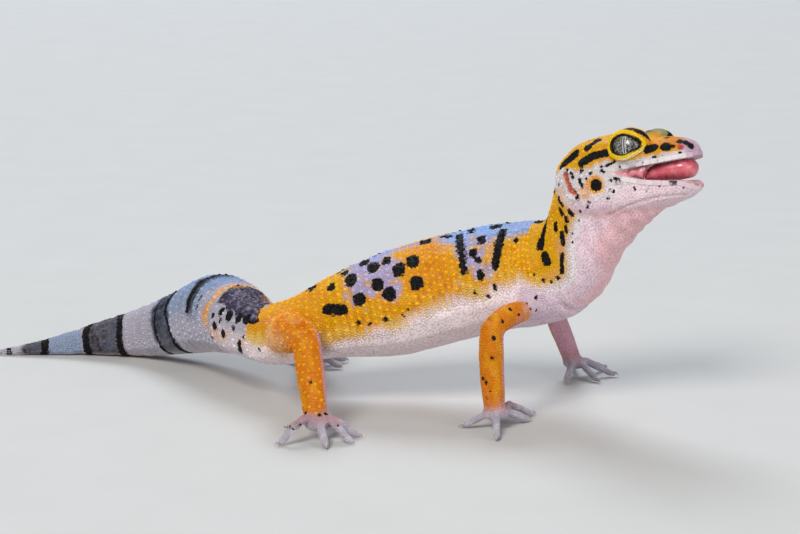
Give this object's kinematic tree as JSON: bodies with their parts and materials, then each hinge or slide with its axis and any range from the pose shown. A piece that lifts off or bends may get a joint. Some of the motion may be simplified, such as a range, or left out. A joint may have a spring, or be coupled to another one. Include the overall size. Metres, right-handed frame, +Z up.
{
  "type": "leopard gecko",
  "caption": "Still life-size model of a young leopard gecko standing on all fours, head raised and turned, mouth a little open, banded tail laid in a curve.",
  "frame": {"origin": "on the floor, under the middle of the animal's bounding box", "axes": "+X along the trunk towards the head, +Y to the animal's left, +Z up; the floor is Z = 0"},
  "size_m": [0.1454, 0.0832, 0.0575],
  "materials": {
    "skin": "soft dry scaly skin, orange-yellow with near-black round spots, lavender bands and a pale belly",
    "tail_skin": "scaly skin, white to grey-blue with black bands",
    "tongue": "wet smooth flesh",
    "eye": "wet clear cornea over a silver-grey iris with a narrow upright pupil"
  },
  "bodies": {
    "root": {"head": "skin", "lower_jaw": "skin", "tongue": "tongue", "eye_left": "eye", "eye_right": "eye", "neck": "skin", "trunk": "skin", "tail_root": "tail_skin", "tail_middle": "tail_skin", "tail_tip": "tail_skin", "upper_arm_right": "skin", "forearm_right": "skin", "hand_right": "skin", "upper_arm_left": "skin", "forearm_left": "skin", "hand_left": "skin", "thigh_right": "skin", "shin_right": "skin", "foot_right": "skin", "thigh_left": "skin", "shin_left": "skin", "foot_left": "skin"}
  },
  "joints": []
}
